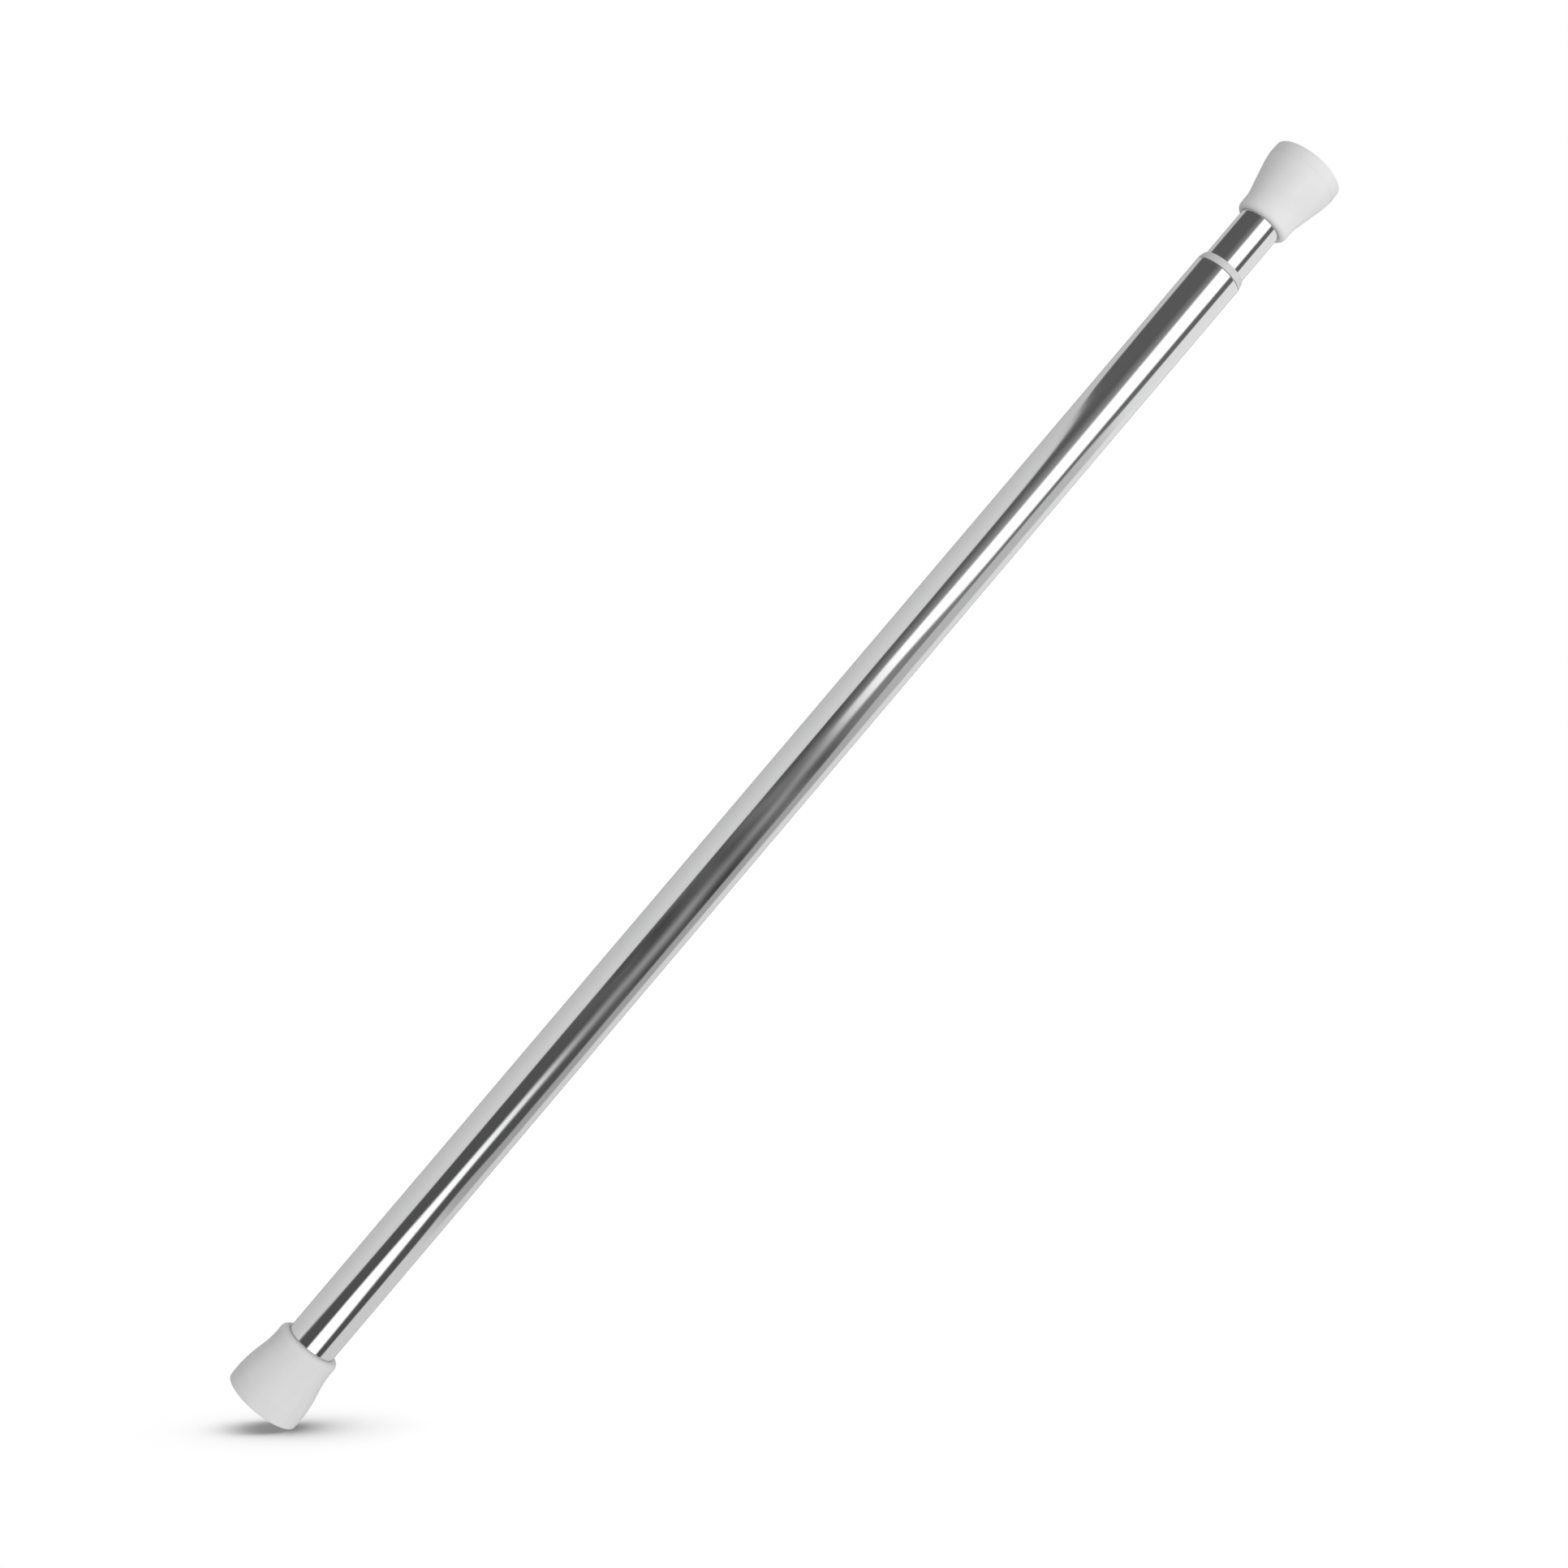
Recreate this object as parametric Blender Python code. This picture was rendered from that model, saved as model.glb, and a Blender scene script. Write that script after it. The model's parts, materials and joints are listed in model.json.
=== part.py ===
"""Telescoping doorway pull-up bar.

The bar lies along +X with +Z up. Its left foot's flat face is at the origin and its right foot's
flat face is at OVERALL_LENGTH. Twisting the outer tube turns a spindle inside it, which drives a nut
and the inner tube out along +X. Everything is in metres.
"""

import math

import bmesh
import bpy
from mathutils import Matrix

# Clearance between pieces that touch or slide on the real bar
GAP = 0.0003

# The whole bar, as it is set here
OVERALL_LENGTH = 0.979
TRAVEL_OUT = 0.250

# Tubes
OUTER_RADIUS = 0.016
INNER_RADIUS = 0.0139
TUBE_WALL = 0.0012
OUTER_MOUTH_X = 0.8919
INNER_START_X = 0.090
TUBE_EDGE_BREAK = 0.0002

# Feet: a flat face, a short crown, a cone, a parallel neck with a rounded lip. An outline's points
# are distance from the face, radius, and where the corner is rounded, by how much and in how many steps
FOOT_PAD = 0.008
FOOT_POCKET_RADIUS = 0.007
FOOT_POCKET_FLOOR = 0.0035
LEFT_FOOT_OUTLINE = [
    (0.0, 0.0247, 0.0012, 2),
    (0.0050, 0.0249),
    (0.0145, 0.0246, 0.0040, 2),
    (0.0336, 0.0208, 0.0030, 2),
    (0.0448, 0.0207, 0.0026, 3),
]
RIGHT_FOOT_OUTLINE = [
    (0.0, 0.0239, 0.0012, 2),
    (0.0045, 0.0242),
    (0.0105, 0.0241, 0.0040, 2),
    (0.0354, 0.0180, 0.0015, 2),
    (0.0460, 0.0179, 0.0026, 3),
]
FOOT_MOUTH_EDGE = 0.0006

# Steel discs, washers and plug flanges stacked behind each foot's pad
DISC_THICKNESS = 0.002
WASHER_THICKNESS = 0.0015
FLANGE_THICKNESS = 0.002
LEFT_PLUG_LENGTH = 0.0336
RIGHT_PLUG_LENGTH = 0.0294
RIGHT_PLUG_CORE_RADIUS = 0.0095
PLUG_WEB = 0.003
PLUG_EDGE = 0.0008
DISC_EDGE = 0.0003
BOLT_END_ROOM = 0.0008

# Foot bolts
BOLT_RADIUS = 0.003
BOLT_HEAD_RADIUS = 0.0055
BOLT_HEAD_LENGTH = 0.0038
BOLT_SOCKET_RADIUS = 0.0028
BOLT_SOCKET_DEPTH = 0.0022
BOLT_LENGTH = 0.020
BOLT_HEAD_EDGE = 0.0005
BOLT_POINT_EDGE = 0.0006

# Set screws and rivets, which lie across the bar
CROSS_FIXING_RADIUS = 0.0018
CROSS_FIXING_POINT = 0.0006
CROSS_FIXING_SOCKET_DEPTH = 0.0014
SET_SCREW_INNER_END = 0.009
RIVET_INNER_END = 0.0095
SET_SCREW_FROM_TUBE_END = 0.0065
RIVET_FROM_TUBE_END = 0.013

# Spindle and nut
THREAD_LEAD = 0.008
THREAD_MAJOR = 0.008
THREAD_MINOR = 0.006
THREAD_CREST_HALF = 0.0014
THREAD_FLANK = 0.0006
THREAD_SIDES = 12
THREAD_CLEARANCE_OUTSIDE = 0.0006
THREAD_CLEARANCE_INSIDE = 0.0004
THREAD_CLEARANCE_ALONG = 0.00035
THREAD_START_X = 0.050
SHANK_RADIUS = 0.0065
SHANK_OVERLAP = 0.002
STUB_RADIUS = 0.005
STUB_LENGTH = 0.020
NUT_LENGTH = 0.026
PIN_RADIUS = 0.002
PIN_HALF_LENGTH = 0.0136
PIN_EDGE = 0.0005
PIN_X = 0.037
SPINDLE_START_X = 0.0283

# Stop at the spindle's free end
GUIDE_THICKNESS = 0.006
GUIDE_EDGE = 0.0006
STOP_WASHER_RADIUS = 0.009
STOP_NUT_HALF_FLATS = 0.008
STOP_NUT_LENGTH = 0.008

# Collar at the outer tube's mouth
COLLAR_RING_LENGTH = 0.0052
COLLAR_SHOULDER_LENGTH = 0.0014
COLLAR_SHOULDER_EDGE = 0.0010
COLLAR_EDGE = 0.0003
COLLAR_NOSE_RADIUS = 0.0148
COLLAR_SLEEVE_LENGTH = 0.025

# Drawn size of the empties that mark the axes
AXIS_MARK_SIZE = 0.03

# Number of flats round a turned piece
TUBE_SIDES = 48
FOOT_SIDES = 40
INSIDE_SIDES = 32
MIDDLE_SIDES = 24
SMALL_SIDES = 16

# Places that follow from the sizes above
OUTER_BORE = OUTER_RADIUS - TUBE_WALL
INNER_BORE = INNER_RADIUS - TUBE_WALL
LEFT_DISC_X = FOOT_PAD + GAP
LEFT_WASHER_X = LEFT_DISC_X + DISC_THICKNESS + GAP
LEFT_PLUG_X = LEFT_WASHER_X + WASHER_THICKNESS + GAP
OUTER_START_X = LEFT_PLUG_X + FLANGE_THICKNESS + GAP
RIGHT_DISC_X = OVERALL_LENGTH - FOOT_PAD - GAP
RIGHT_PLUG_X = RIGHT_DISC_X - DISC_THICKNESS - GAP
INNER_END_X = RIGHT_PLUG_X - FLANGE_THICKNESS - GAP
BOLT_END_FROM_FACE = FOOT_PAD - BOLT_HEAD_LENGTH + BOLT_LENGTH + BOLT_END_ROOM
LEFT_BOLT_DEPTH = BOLT_END_FROM_FACE - LEFT_PLUG_X
RIGHT_BOLT_DEPTH = BOLT_END_FROM_FACE - (OVERALL_LENGTH - RIGHT_PLUG_X)
NUT_FLANGE_X = INNER_START_X - GAP - FLANGE_THICKNESS
NUT_END_X = INNER_START_X - GAP + NUT_LENGTH
GUIDE_X = NUT_END_X + TRAVEL_OUT + GAP
THREAD_END_X = GUIDE_X - GAP
STOP_WASHER_X = GUIDE_X + GUIDE_THICKNESS + GAP
STOP_NUT_X = STOP_WASHER_X + WASHER_THICKNESS + GAP

ACROSS_Z = Matrix.Rotation(math.radians(-90), 4, "Y")


def clear_scene():
    """Remove whatever the open file holds."""
    for thing in list(bpy.data.objects):
        bpy.data.objects.remove(thing, do_unlink=True)


def make_material(name, colour, roughness, metallic):
    """A Principled material with one colour, roughness and metallic value."""
    material = bpy.data.materials.new(name)
    material.use_nodes = True
    shader = material.node_tree.nodes["Principled BSDF"]
    shader.inputs["Base Color"].default_value = (*colour, 1.0)
    shader.inputs["Roughness"].default_value = roughness
    shader.inputs["Metallic"].default_value = metallic
    return material


def make_axis(name, x):
    """An empty on the bar's axis, which the pieces of one moving group hang from."""
    axis = bpy.data.objects.new(name, None)
    axis.location = (x, 0.0, 0.0)
    axis.empty_display_size = AXIS_MARK_SIZE
    bpy.context.collection.objects.link(axis)
    return axis


def close_ends(mesh):
    """Fill every open edge loop with one flat face and point all faces out."""
    open_edges = [edge for edge in mesh.edges if edge.is_boundary]
    bmesh.ops.holes_fill(mesh, edges=open_edges, sides=0)
    bmesh.ops.recalc_face_normals(mesh, faces=mesh.faces)


def round_ring(mesh, x, radius, offset, segments):
    """Round the circular edge at one corner of a turned piece."""
    near = 1e-6
    ring = [
        edge
        for edge in mesh.edges
        if all(
            abs(vertex.co.x - x) < near and abs(vertex.co.yz.length - radius) < near
            for vertex in edge.verts
        )
    ]
    bmesh.ops.bevel(
        mesh, geom=ring, affect="EDGES", offset_type="OFFSET", offset=offset,
        segments=segments, profile=0.5, material=-1, clamp_overlap=True,
    )


def turn_profile(corners, sides, closed):
    """Spin a profile about X. A corner is (x, radius) or (x, radius, rounding, segments)."""
    mesh = bmesh.new()
    points = [mesh.verts.new((corner[0], 0.0, corner[1])) for corner in corners]
    chain = [mesh.edges.new(pair) for pair in zip(points, points[1:])]
    if closed:
        chain.append(mesh.edges.new((points[-1], points[0])))
    bmesh.ops.spin(
        mesh, geom=points + chain, cent=(0, 0, 0), axis=(1, 0, 0),
        angle=math.tau, steps=sides, use_merge=True,
    )
    close_ends(mesh)
    for corner in corners:
        if len(corner) > 2:
            round_ring(mesh, *corner)
    return mesh


def place(name, mesh, material, parent, x, turn=None):
    """Make the object, smooth it, and put it at x along the bar, under its axis."""
    bmesh.ops.recalc_face_normals(mesh, faces=mesh.faces)
    data = bpy.data.meshes.new(name)
    mesh.to_mesh(data)
    mesh.free()
    data.materials.append(material)
    data.shade_smooth()
    data.set_sharp_from_angle(angle=math.radians(30))
    piece = bpy.data.objects.new(name, data)
    piece.parent = parent
    piece.matrix_basis = Matrix.Translation((x - parent.location.x, 0.0, 0.0))
    if turn:
        piece.matrix_basis = piece.matrix_basis @ turn
    bpy.context.collection.objects.link(piece)
    return piece


def make_turned(name, corners, material, parent, x, sides=INSIDE_SIDES, closed=False, turn=None):
    """A turned piece. An open profile's two ends are closed by flat discs."""
    return place(name, turn_profile(corners, sides, closed), material, parent, x, turn)


def facing_left(corners):
    """Mirror a profile, for a piece of the right foot, whose face looks along +X."""
    return [(-corner[0], *corner[1:]) for corner in corners]


def combine(piece, tool, operation):
    """Cut a tool from a piece, or join it on. The tool itself is only a guide."""
    tool.hide_render = True
    tool.display_type = "WIRE"
    change = piece.modifiers.new(tool.name, "BOOLEAN")
    change.operation = operation
    change.object = tool


def make_tool(name, radius, start, end, parent, x, turn=None, sides=SMALL_SIDES):
    """A plain cylinder from start to end along its own axis, for cutting or joining."""
    corners = [(start, radius), (end, radius)]
    return make_turned(name, corners, guide_material, parent, x, sides=sides, turn=turn)


def threaded_rod(major, minor, crest_half, flank, start, end):
    """A solid right-hand thread about X, cut square at both ends."""
    root = crest_half + flank
    first = THREAD_START_X + THREAD_LEAD * (math.floor((start - THREAD_START_X) / THREAD_LEAD) - 1)
    turns = math.ceil((end - start) / THREAD_LEAD) + 3
    outline = [
        (-root, minor), (-crest_half, major), (crest_half, major),
        (root, minor), (THREAD_LEAD - root, minor),
    ]
    mesh = bmesh.new()
    points = [mesh.verts.new((first + x, 0.0, radius)) for x, radius in outline]
    chain = [mesh.edges.new(pair) for pair in zip(points, points[1:])]
    bmesh.ops.spin(
        mesh, geom=points + chain, cent=(0, 0, 0), axis=(1, 0, 0),
        dvec=(THREAD_LEAD / THREAD_SIDES, 0, 0),
        angle=math.tau * turns, steps=turns * THREAD_SIDES,
    )
    bmesh.ops.remove_doubles(mesh, verts=mesh.verts, dist=1e-5)
    for x, outward in ((start, -1), (end, 1)):
        everything = mesh.verts[:] + mesh.edges[:] + mesh.faces[:]
        bmesh.ops.bisect_plane(
            mesh, geom=everything, dist=1e-7, plane_co=(x, 0, 0),
            plane_no=(outward, 0, 0), clear_outer=True,
        )
    close_ends(mesh)
    return mesh


def make_cross_fixing(name, inner_end, outer_end, material, parent, x, side):
    """A set screw or rivet across the bar, on the +Y side (1) or the -Y side (-1)."""
    corners = [
        (inner_end, CROSS_FIXING_RADIUS - CROSS_FIXING_POINT),
        (inner_end + CROSS_FIXING_POINT, CROSS_FIXING_RADIUS),
        (outer_end, CROSS_FIXING_RADIUS),
        (outer_end, CROSS_FIXING_RADIUS / 2),
        (outer_end - CROSS_FIXING_SOCKET_DEPTH, CROSS_FIXING_RADIUS / 2),
    ]
    turn = Matrix.Rotation(side * math.radians(90), 4, "Z")
    return make_turned(name, corners, material, parent, x, sides=SMALL_SIDES, turn=turn)


def cut_cross_holes(piece, inner_end, outer_end, parent, x):
    """Holes on both sides for a pair of set screws or rivets."""
    for side in (1, -1):
        turn = Matrix.Rotation(side * math.radians(90), 4, "Z")
        hole = make_tool(
            f"{piece.name}_hole_tool", CROSS_FIXING_RADIUS + GAP, inner_end, outer_end,
            parent, x, turn,
        )
        combine(piece, hole, "DIFFERENCE")


def foot_corners(outline, bore):
    """A boot's profile: outside from the face to the lip, then the bore, floor and bolt pocket."""
    return outline + [
        (outline[-1][0], bore, FOOT_MOUTH_EDGE, 1),
        (FOOT_PAD, bore),
        (FOOT_PAD, FOOT_POCKET_RADIUS),
        (FOOT_POCKET_FLOOR, FOOT_POCKET_RADIUS),
    ]


def make_foot_bolt(name, parent, x, mirrored):
    """A socket-head bolt whose head lies in the boot's pocket and bears on the steel disc."""
    corners = [
        (BOLT_SOCKET_DEPTH, BOLT_SOCKET_RADIUS),
        (0.0, BOLT_SOCKET_RADIUS),
        (0.0, BOLT_HEAD_RADIUS, BOLT_HEAD_EDGE, 1),
        (BOLT_HEAD_LENGTH, BOLT_HEAD_RADIUS),
        (BOLT_HEAD_LENGTH, BOLT_RADIUS),
        (BOLT_LENGTH, BOLT_RADIUS, BOLT_POINT_EDGE, 1),
    ]
    if mirrored:
        corners = facing_left(corners)
    return make_turned(name, corners, steel, parent, x, sides=MIDDLE_SIDES)


clear_scene()

chrome = make_material("chrome_plate", (0.82, 0.82, 0.83), 0.07, 1.0)
foot_rubber = make_material("pale_grey_rubber", (0.62, 0.62, 0.62), 0.55, 0.0)
collar_plastic = make_material("pale_grey_plastic", (0.70, 0.70, 0.70), 0.35, 0.0)
plug_plastic = make_material("black_moulded_plastic", (0.05, 0.05, 0.055), 0.50, 0.0)
nylon = make_material("natural_nylon", (0.80, 0.79, 0.74), 0.40, 0.0)
steel = make_material("zinc_plated_steel", (0.60, 0.61, 0.63), 0.30, 1.0)
spindle_steel = make_material("rolled_spindle_steel", (0.45, 0.45, 0.46), 0.35, 1.0)
guide_material = make_material("guide", (0.5, 0.5, 0.5), 0.5, 0.0)

fixed_foot = make_axis("fixed_foot_origin", 0.0)
twist_axis = make_axis("outer_tube_twist_axis", LEFT_PLUG_X)
slide_axis = make_axis("inner_tube_slide_axis", INNER_START_X)

# Left foot, which stays on the jamb while the outer tube turns in it
make_turned(
    "left_foot_boot", foot_corners(LEFT_FOOT_OUTLINE, OUTER_RADIUS + GAP),
    foot_rubber, fixed_foot, 0.0, sides=FOOT_SIDES,
)
for name, x, thickness, material in (
    ("left_pressure_disc", LEFT_DISC_X, DISC_THICKNESS, steel),
    ("left_thrust_washer", LEFT_WASHER_X, WASHER_THICKNESS, nylon),
):
    ring = [
        (0.0, OUTER_RADIUS, DISC_EDGE, 1), (thickness, OUTER_RADIUS, DISC_EDGE, 1),
        (thickness, BOLT_RADIUS + GAP), (0.0, BOLT_RADIUS + GAP),
    ]
    make_turned(name, ring, material, fixed_foot, x, closed=True)
make_foot_bolt("left_swivel_bolt", twist_axis, FOOT_PAD - BOLT_HEAD_LENGTH, mirrored=False)

# Outer tube and the plug in its foot end
outer_length = OUTER_MOUTH_X - OUTER_START_X
outer_tube = make_turned(
    "outer_tube",
    [
        (0.0, OUTER_RADIUS, TUBE_EDGE_BREAK, 1), (outer_length, OUTER_RADIUS, TUBE_EDGE_BREAK, 1),
        (outer_length, OUTER_BORE), (0.0, OUTER_BORE),
    ],
    chrome, twist_axis, OUTER_START_X, sides=TUBE_SIDES, closed=True,
)
shank_bore = SHANK_RADIUS + GAP
shank_depth = LEFT_PLUG_LENGTH - (SPINDLE_START_X - GAP - LEFT_PLUG_X)
left_plug = make_turned(
    "left_end_plug",
    [
        (LEFT_BOLT_DEPTH, BOLT_RADIUS + GAP), (0.0, BOLT_RADIUS + GAP),
        (0.0, OUTER_RADIUS - GAP), (FLANGE_THICKNESS, OUTER_RADIUS - GAP),
        (FLANGE_THICKNESS, OUTER_BORE - GAP), (LEFT_PLUG_LENGTH, OUTER_BORE - GAP, PLUG_EDGE, 1),
        (LEFT_PLUG_LENGTH, shank_bore), (LEFT_PLUG_LENGTH - shank_depth, shank_bore),
    ],
    plug_plastic, twist_axis, LEFT_PLUG_X,
)
set_screw_x = OUTER_START_X + SET_SCREW_FROM_TUBE_END
for number, side in ((1, 1), (2, -1)):
    make_cross_fixing(
        f"plug_set_screw_{number}", SET_SCREW_INNER_END, OUTER_RADIUS - GAP, steel,
        twist_axis, set_screw_x, side,
    )
for piece in (outer_tube, left_plug):
    cut_cross_holes(piece, SET_SCREW_INNER_END - GAP, OUTER_RADIUS + GAP, twist_axis, set_screw_x)

# Spindle, pinned in the plug
spindle = place(
    "spindle",
    threaded_rod(
        THREAD_MAJOR, THREAD_MINOR, THREAD_CREST_HALF, THREAD_FLANK, THREAD_START_X, THREAD_END_X
    ),
    spindle_steel, twist_axis, 0.0,
)
shank = make_tool(
    "spindle_shank_guide", SHANK_RADIUS, SPINDLE_START_X, THREAD_START_X + SHANK_OVERLAP,
    twist_axis, 0.0, sides=MIDDLE_SIDES,
)
stub = make_tool(
    "spindle_stub_guide", STUB_RADIUS, THREAD_END_X - SHANK_OVERLAP, THREAD_END_X + STUB_LENGTH,
    twist_axis, 0.0, sides=MIDDLE_SIDES,
)
combine(spindle, shank, "UNION")
combine(spindle, stub, "UNION")
pin_hole = make_tool(
    "pin_hole_tool", PIN_RADIUS + GAP, -OUTER_RADIUS, OUTER_RADIUS, twist_axis, PIN_X, ACROSS_Z
)
combine(spindle, pin_hole, "DIFFERENCE")
combine(left_plug, pin_hole, "DIFFERENCE")
make_turned(
    "spindle_pin",
    [(-PIN_HALF_LENGTH, PIN_RADIUS, PIN_EDGE, 1), (PIN_HALF_LENGTH, PIN_RADIUS, PIN_EDGE, 1)],
    steel, twist_axis, PIN_X, sides=SMALL_SIDES, turn=ACROSS_Z,
)

# Stop on the spindle's free end
stub_bore = STUB_RADIUS + GAP
guide_radius = INNER_BORE - GAP
make_turned(
    "spindle_end_guide",
    [
        (0.0, guide_radius, GUIDE_EDGE, 1), (GUIDE_THICKNESS, guide_radius, GUIDE_EDGE, 1),
        (GUIDE_THICKNESS, stub_bore), (0.0, stub_bore),
    ],
    nylon, twist_axis, GUIDE_X, closed=True,
)
make_turned(
    "stop_washer",
    [
        (0.0, STOP_WASHER_RADIUS), (WASHER_THICKNESS, STOP_WASHER_RADIUS),
        (WASHER_THICKNESS, stub_bore), (0.0, stub_bore),
    ],
    steel, twist_axis, STOP_WASHER_X, closed=True,
)
stop_nut_mesh = turn_profile(
    [
        (0.0, STOP_NUT_HALF_FLATS), (STOP_NUT_LENGTH, STOP_NUT_HALF_FLATS),
        (STOP_NUT_LENGTH, stub_bore), (0.0, stub_bore),
    ],
    MIDDLE_SIDES, True,
)
sixth = math.tau / 6
for vertex in stop_nut_mesh.verts:
    if vertex.co.yz.length > STOP_NUT_HALF_FLATS - GAP:
        # push the round outside out to six flats
        around = math.atan2(vertex.co.z, vertex.co.y) % sixth - sixth / 2
        vertex.co.yz = vertex.co.yz / math.cos(around)
place("spindle_stop_nut", stop_nut_mesh, steel, twist_axis, STOP_NUT_X)

# Collar: a thin bush in the outer tube's mouth, with a ring that shows
collar_bore = INNER_RADIUS + GAP
collar_x = OUTER_MOUTH_X + GAP - COLLAR_SLEEVE_LENGTH
collar_length = COLLAR_SLEEVE_LENGTH + COLLAR_RING_LENGTH
make_turned(
    "mouth_collar",
    [
        (0.0, OUTER_BORE - GAP), (COLLAR_SLEEVE_LENGTH, OUTER_BORE - GAP),
        (COLLAR_SLEEVE_LENGTH, OUTER_RADIUS, COLLAR_EDGE, 1),
        (COLLAR_SLEEVE_LENGTH + COLLAR_SHOULDER_LENGTH, OUTER_RADIUS, COLLAR_SHOULDER_EDGE, 2),
        (collar_length, COLLAR_NOSE_RADIUS, COLLAR_EDGE, 1),
        (collar_length, collar_bore), (0.0, collar_bore),
    ],
    collar_plastic, twist_axis, collar_x, sides=TUBE_SIDES, closed=True,
)

# Inner tube, with the nut riveted into its inner end
inner_length = INNER_END_X - INNER_START_X
inner_tube = make_turned(
    "inner_tube",
    [
        (0.0, INNER_RADIUS, TUBE_EDGE_BREAK, 1), (inner_length, INNER_RADIUS, TUBE_EDGE_BREAK, 1),
        (inner_length, INNER_BORE), (0.0, INNER_BORE),
    ],
    chrome, slide_axis, INNER_START_X, sides=TUBE_SIDES, closed=True,
)
nut_length = NUT_END_X - NUT_FLANGE_X
drive_nut = make_turned(
    "drive_nut",
    [
        (0.0, OUTER_BORE - GAP), (FLANGE_THICKNESS, OUTER_BORE - GAP),
        (FLANGE_THICKNESS, INNER_BORE - GAP), (nut_length, INNER_BORE - GAP, PLUG_EDGE, 1),
    ],
    nylon, slide_axis, NUT_FLANGE_X,
)
nut_thread = place(
    "nut_thread_tool",
    threaded_rod(
        THREAD_MAJOR + THREAD_CLEARANCE_OUTSIDE, THREAD_MINOR + THREAD_CLEARANCE_INSIDE,
        THREAD_CREST_HALF + THREAD_CLEARANCE_ALONG, THREAD_FLANK,
        NUT_FLANGE_X - THREAD_LEAD / 2, NUT_END_X + THREAD_LEAD / 2,
    ),
    guide_material, slide_axis, 0.0,
)
combine(drive_nut, nut_thread, "DIFFERENCE")
rivet_x = INNER_START_X + RIVET_FROM_TUBE_END
for number, side in ((1, 1), (2, -1)):
    make_cross_fixing(
        f"nut_rivet_{number}", RIVET_INNER_END, INNER_RADIUS, steel, slide_axis, rivet_x, side
    )
for piece in (inner_tube, drive_nut):
    cut_cross_holes(piece, RIVET_INNER_END - GAP, INNER_RADIUS + GAP, slide_axis, rivet_x)

# Right end: plug, disc, bolt and foot, all carried by the inner tube
right_plug = make_turned(
    "right_end_plug",
    facing_left([
        (RIGHT_BOLT_DEPTH, BOLT_RADIUS + GAP), (0.0, BOLT_RADIUS + GAP),
        (0.0, INNER_RADIUS - GAP), (FLANGE_THICKNESS, INNER_RADIUS - GAP),
        (FLANGE_THICKNESS, INNER_BORE - GAP), (RIGHT_PLUG_LENGTH, INNER_BORE - GAP, PLUG_EDGE, 1),
        (RIGHT_PLUG_LENGTH, RIGHT_PLUG_CORE_RADIUS),
        (RIGHT_BOLT_DEPTH + PLUG_WEB, RIGHT_PLUG_CORE_RADIUS),
    ]),
    plug_plastic, slide_axis, RIGHT_PLUG_X,
)
right_screw_x = INNER_END_X - SET_SCREW_FROM_TUBE_END
for number, side in ((1, 1), (2, -1)):
    make_cross_fixing(
        f"right_plug_screw_{number}", SET_SCREW_INNER_END, INNER_RADIUS - GAP, steel,
        slide_axis, right_screw_x, side,
    )
for piece in (inner_tube, right_plug):
    cut_cross_holes(piece, SET_SCREW_INNER_END - GAP, INNER_RADIUS + GAP, slide_axis, right_screw_x)
make_turned(
    "right_pressure_disc",
    facing_left([
        (0.0, INNER_RADIUS, DISC_EDGE, 1), (DISC_THICKNESS, INNER_RADIUS, DISC_EDGE, 1),
        (DISC_THICKNESS, BOLT_RADIUS + GAP), (0.0, BOLT_RADIUS + GAP),
    ]),
    steel, slide_axis, RIGHT_DISC_X, closed=True,
)
make_foot_bolt(
    "right_foot_bolt", slide_axis, OVERALL_LENGTH - FOOT_PAD + BOLT_HEAD_LENGTH, mirrored=True
)
make_turned(
    "right_foot_boot", facing_left(foot_corners(RIGHT_FOOT_OUTLINE, INNER_RADIUS + GAP)),
    foot_rubber, slide_axis, OVERALL_LENGTH, sides=FOOT_SIDES,
)
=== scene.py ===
import json
import math

import bmesh
import bpy
from mathutils import Matrix, Vector


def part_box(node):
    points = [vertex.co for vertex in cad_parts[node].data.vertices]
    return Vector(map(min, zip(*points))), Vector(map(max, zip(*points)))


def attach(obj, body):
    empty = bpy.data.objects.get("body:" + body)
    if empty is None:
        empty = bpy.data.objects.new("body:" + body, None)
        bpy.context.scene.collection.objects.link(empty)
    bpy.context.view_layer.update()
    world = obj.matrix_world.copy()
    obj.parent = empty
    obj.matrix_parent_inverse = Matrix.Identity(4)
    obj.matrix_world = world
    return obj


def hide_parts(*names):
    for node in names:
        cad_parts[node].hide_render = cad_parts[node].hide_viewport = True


# A telescoping doorway pull-up bar: two chromed tubes, a plastic collar and two rubber feet, with the
# screw and its plugs inside. Everything is in metres, in the frame's own axes, with the bar along +X.
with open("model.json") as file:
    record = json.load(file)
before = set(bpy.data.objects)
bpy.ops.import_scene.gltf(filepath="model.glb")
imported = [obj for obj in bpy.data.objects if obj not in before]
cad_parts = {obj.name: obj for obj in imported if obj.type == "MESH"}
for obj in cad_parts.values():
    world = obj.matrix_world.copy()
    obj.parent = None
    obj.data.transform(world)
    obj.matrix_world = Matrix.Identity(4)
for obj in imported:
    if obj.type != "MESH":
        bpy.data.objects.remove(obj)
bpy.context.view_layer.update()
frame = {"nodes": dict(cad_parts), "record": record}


# ---------------------------------------------------------------------------------------------
# Feet. Each is one moulding of pale grey rubber: a flat contact face with shallow ring grooves, a
# short crown, a cone and a parallel neck with a rounded lip. It is stretched over the tube's end.
# ---------------------------------------------------------------------------------------------
FOOT_SIDES = 192
FOOT_PAD = 0.008
BOLT_POCKET_RADIUS = 0.007
BOLT_POCKET_FLOOR = 0.0035
MOUTH_FIT = 0.00002
TREAD_RADII = (0.0185, 0.0135, 0.0085)
TREAD_WIDTH = 0.0012
TREAD_WALL = 0.0002
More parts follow.
